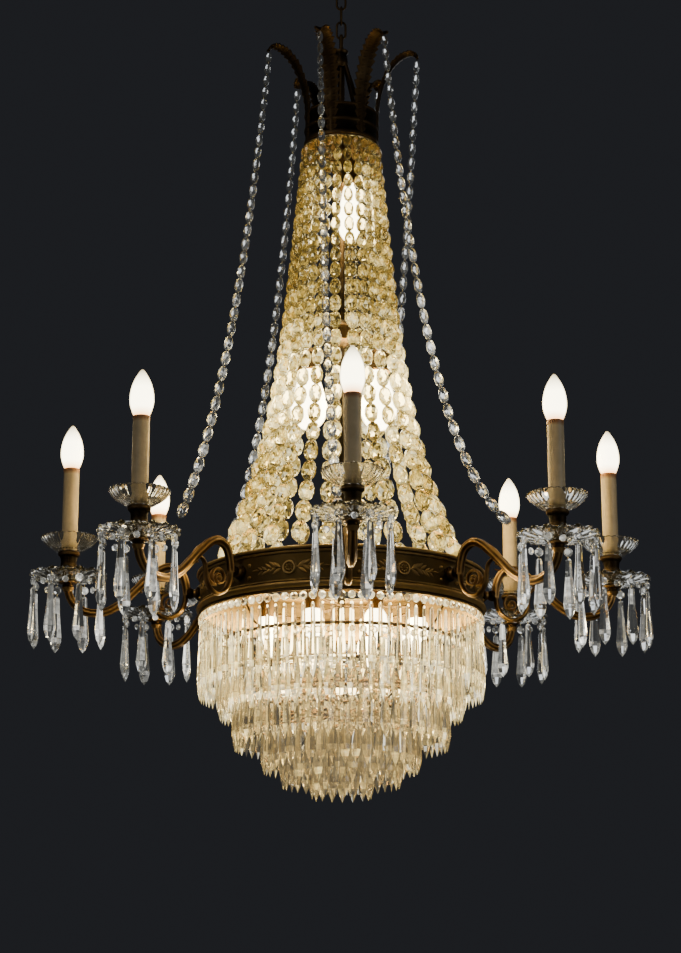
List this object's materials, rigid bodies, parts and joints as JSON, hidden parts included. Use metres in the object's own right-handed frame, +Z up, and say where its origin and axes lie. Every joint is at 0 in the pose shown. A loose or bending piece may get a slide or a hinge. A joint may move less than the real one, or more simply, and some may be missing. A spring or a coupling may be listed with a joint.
{
  "type": "multi arm chandelier",
  "caption": "Crystal chandelier with S-curved candle arms round a moulded ring, a bead tent above it and a tiered prism basket below, hung on a chain.",
  "frame": {"origin": "middle of the hook plate's flat top face, which lies on the ceiling", "axes": "+Z up along the hanging axis; arm 1 points along -Y and the arms count anticlockwise from above"},
  "size_m": [0.943, 0.943, 1.372],
  "materials": {
    "dark_bronze": "dark bronze patina, satin, worn brown on the high edges",
    "gilt_bronze": "aged cast brass, satin on the high parts and dark in the hollows",
    "cut_crystal": "clear cut crystal, polished",
    "ivory_sleeve": "ivory candle sleeve, matte",
    "lamp_glass": "lit frosted lamp glass, warm white"
  },
  "bodies": {
    "ceiling": {"ceiling_hook": "dark_bronze"},
    "link_1": {"chain_link_1": "dark_bronze"},
    "link_2": {"chain_link_2": "dark_bronze"},
    "link_3": {"chain_link_3": "dark_bronze"},
    "link_4": {"chain_link_4": "dark_bronze"},
    "chandelier": {"top_loop": "dark_bronze", "crown": "dark_bronze", "lamp_stem": "dark_bronze", "main_ring": "gilt_bronze", "bead_tent": "cut_crystal", "basket_frame": "dark_bronze", "prism_tier_1": "cut_crystal", "prism_tier_2": "cut_crystal", "prism_tier_3": "cut_crystal", "prism_tier_4": "cut_crystal", "prism_tier_5": "cut_crystal", "prism_tier_6": "cut_crystal", "arm_1": "gilt_bronze", "drip_pan_1": "cut_crystal", "candle_dish_1": "cut_crystal", "candle_1": "ivory_sleeve", "arm_2": "gilt_bronze", "drip_pan_2": "cut_crystal", "candle_dish_2": "cut_crystal", "candle_2": "ivory_sleeve", "arm_3": "gilt_bronze", "drip_pan_3": "cut_crystal", "candle_dish_3": "cut_crystal", "candle_3": "ivory_sleeve", "arm_4": "gilt_bronze", "drip_pan_4": "cut_crystal", "candle_dish_4": "cut_crystal", "candle_4": "ivory_sleeve", "arm_5": "gilt_bronze", "drip_pan_5": "cut_crystal", "candle_dish_5": "cut_crystal", "candle_5": "ivory_sleeve", "arm_6": "gilt_bronze", "drip_pan_6": "cut_crystal", "candle_dish_6": "cut_crystal", "candle_6": "ivory_sleeve", "arm_7": "gilt_bronze", "drip_pan_7": "cut_crystal", "candle_dish_7": "cut_crystal", "candle_7": "ivory_sleeve", "arm_8": "gilt_bronze", "drip_pan_8": "cut_crystal", "candle_dish_8": "cut_crystal", "candle_8": "ivory_sleeve"},
    "bulb_1": {"candle_bulb_1": "lamp_glass"},
    "bulb_2": {"candle_bulb_2": "lamp_glass"},
    "bulb_3": {"candle_bulb_3": "lamp_glass"},
    "bulb_4": {"candle_bulb_4": "lamp_glass"},
    "bulb_5": {"candle_bulb_5": "lamp_glass"},
    "bulb_6": {"candle_bulb_6": "lamp_glass"},
    "bulb_7": {"candle_bulb_7": "lamp_glass"},
    "bulb_8": {"candle_bulb_8": "lamp_glass"},
    "lamp_left": {"inner_lamp_left": "lamp_glass"},
    "lamp_right": {"inner_lamp_right": "lamp_glass"},
    "lamp_upper": {"upper_lamp": "lamp_glass"}
  },
  "joints": [
    {"name": "link_1_swing", "type": "hinge", "parent": "ceiling", "child": "link_1", "pos_m": [0, 0, -0.042], "axis": [1, 0, 0], "range_deg": [-25, 25]},
    {"name": "link_2_swing", "type": "hinge", "parent": "link_1", "child": "link_2", "pos_m": [0, 0, -0.067], "axis": [0, 1, 0], "range_deg": [-25, 25]},
    {"name": "link_3_swing", "type": "hinge", "parent": "link_2", "child": "link_3", "pos_m": [0, 0, -0.093], "axis": [1, 0, 0], "range_deg": [-25, 25]},
    {"name": "link_4_swing", "type": "hinge", "parent": "link_3", "child": "link_4", "pos_m": [0, 0, -0.119], "axis": [0, 1, 0], "range_deg": [-25, 25]},
    {"name": "chandelier_swing", "type": "hinge", "parent": "link_4", "child": "chandelier", "pos_m": [0, 0, -0.145], "axis": [1, 0, 0], "range_deg": [-25, 25]},
    {"name": "bulb_1_turn", "type": "hinge", "parent": "chandelier", "child": "bulb_1", "pos_m": [0, -0.4125, -0.87], "axis": [0, 0, 1], "range_deg": [0, 720]},
    {"name": "bulb_2_turn", "type": "hinge", "parent": "chandelier", "child": "bulb_2", "pos_m": [0.29168, -0.29168, -0.87], "axis": [0, 0, 1], "range_deg": [0, 720]},
    {"name": "bulb_3_turn", "type": "hinge", "parent": "chandelier", "child": "bulb_3", "pos_m": [0.4125, 0, -0.87], "axis": [0, 0, 1], "range_deg": [0, 720]},
    {"name": "bulb_4_turn", "type": "hinge", "parent": "chandelier", "child": "bulb_4", "pos_m": [0.29168, 0.29168, -0.87], "axis": [0, 0, 1], "range_deg": [0, 720]},
    {"name": "bulb_5_turn", "type": "hinge", "parent": "chandelier", "child": "bulb_5", "pos_m": [0, 0.4125, -0.87], "axis": [0, 0, 1], "range_deg": [0, 720]},
    {"name": "bulb_6_turn", "type": "hinge", "parent": "chandelier", "child": "bulb_6", "pos_m": [-0.29168, 0.29168, -0.87], "axis": [0, 0, 1], "range_deg": [0, 720]},
    {"name": "bulb_7_turn", "type": "hinge", "parent": "chandelier", "child": "bulb_7", "pos_m": [-0.4125, 0, -0.87], "axis": [0, 0, 1], "range_deg": [0, 720]},
    {"name": "bulb_8_turn", "type": "hinge", "parent": "chandelier", "child": "bulb_8", "pos_m": [-0.29168, -0.29168, -0.87], "axis": [0, 0, 1], "range_deg": [0, 720]},
    {"name": "lamp_left_turn", "type": "hinge", "parent": "chandelier", "child": "lamp_left", "pos_m": [-0.05, 0, -0.709], "axis": [0, 0, 1], "range_deg": [0, 720]},
    {"name": "lamp_right_turn", "type": "hinge", "parent": "chandelier", "child": "lamp_right", "pos_m": [0.058, 0, -0.709], "axis": [0, 0, 1], "range_deg": [0, 720]},
    {"name": "lamp_upper_turn", "type": "hinge", "parent": "chandelier", "child": "lamp_upper", "pos_m": [0.012, -0.027, -0.408], "axis": [0, 0, 1], "range_deg": [0, 720]}
  ]
}
